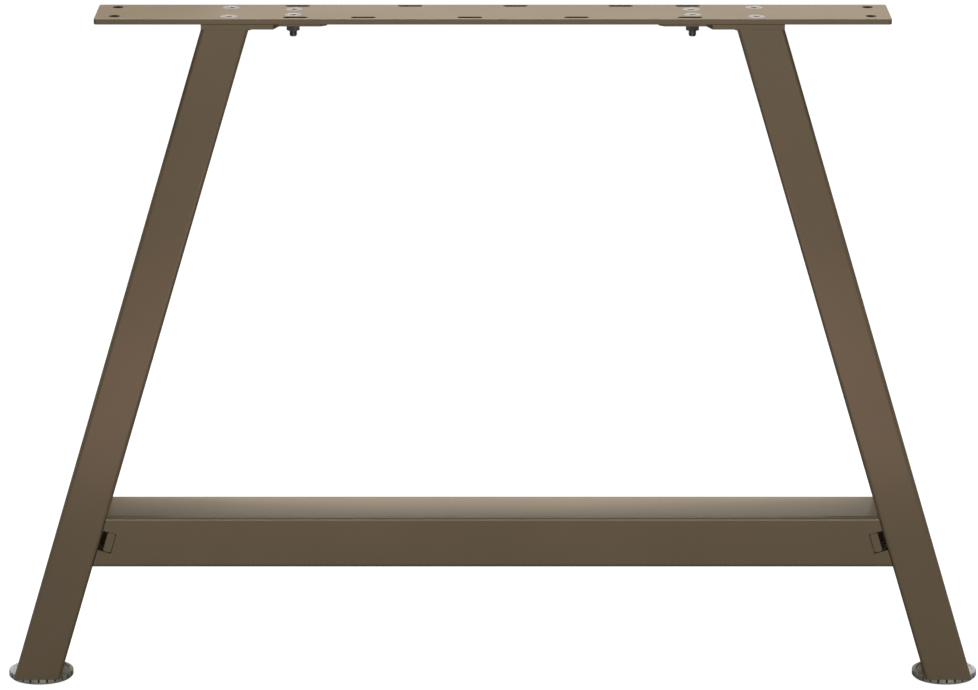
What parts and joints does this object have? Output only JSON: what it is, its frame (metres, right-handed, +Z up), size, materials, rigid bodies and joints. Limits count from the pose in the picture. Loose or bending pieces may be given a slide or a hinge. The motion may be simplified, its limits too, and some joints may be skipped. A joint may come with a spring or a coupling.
{
  "type": "trestle table leg",
  "caption": "Steel A-frame trestle leg: leaning tubes joined by a low crossbar, a drilled strip for the table top, levelling feet",
  "frame": {"origin": "on the floor, midway between the feet and midway through the depth of the tubes", "axes": "+Z up, +X along the strip, +Y away from a viewer of the front"},
  "size_m": [1.0092, 0.08, 0.703],
  "materials": {
    "powder_coat": "taupe brown powder coat, fine texture, low sheen",
    "zinc_hardware": "bright zinc plated steel",
    "black_hardware": "black oxide steel, oiled",
    "foot_metal": "zinc plated turned steel"
  },
  "bodies": {
    "root": {"top_strip": "powder_coat", "crossbar": "powder_coat", "strip_screws": "zinc_hardware", "joint_bolts": "zinc_hardware", "left_leg_tube": "powder_coat", "left_leg_flange": "powder_coat", "left_leg_weld_nuts": "zinc_hardware", "left_tongue_nuts": "black_hardware", "left_crossbar_end_block": "powder_coat", "left_end_plate": "powder_coat", "left_foot_nut": "zinc_hardware", "right_leg_tube": "powder_coat", "right_leg_flange": "powder_coat", "right_leg_weld_nuts": "zinc_hardware", "right_tongue_nuts": "black_hardware", "right_crossbar_end_block": "powder_coat", "right_end_plate": "powder_coat", "right_foot_nut": "zinc_hardware"},
    "left_foot": {"left_foot_base": "foot_metal", "left_foot_stud": "zinc_hardware"},
    "right_foot": {"right_foot_base": "foot_metal", "right_foot_stud": "zinc_hardware"}
  },
  "joints": [
    {"name": "left_foot_travel", "type": "slide", "parent": "root", "child": "left_foot", "axis": [0, 0, -1], "range_m": [0, 0.01]},
    {"name": "right_foot_travel", "type": "slide", "parent": "root", "child": "right_foot", "axis": [0, 0, -1], "range_m": [0, 0.01]}
  ]
}
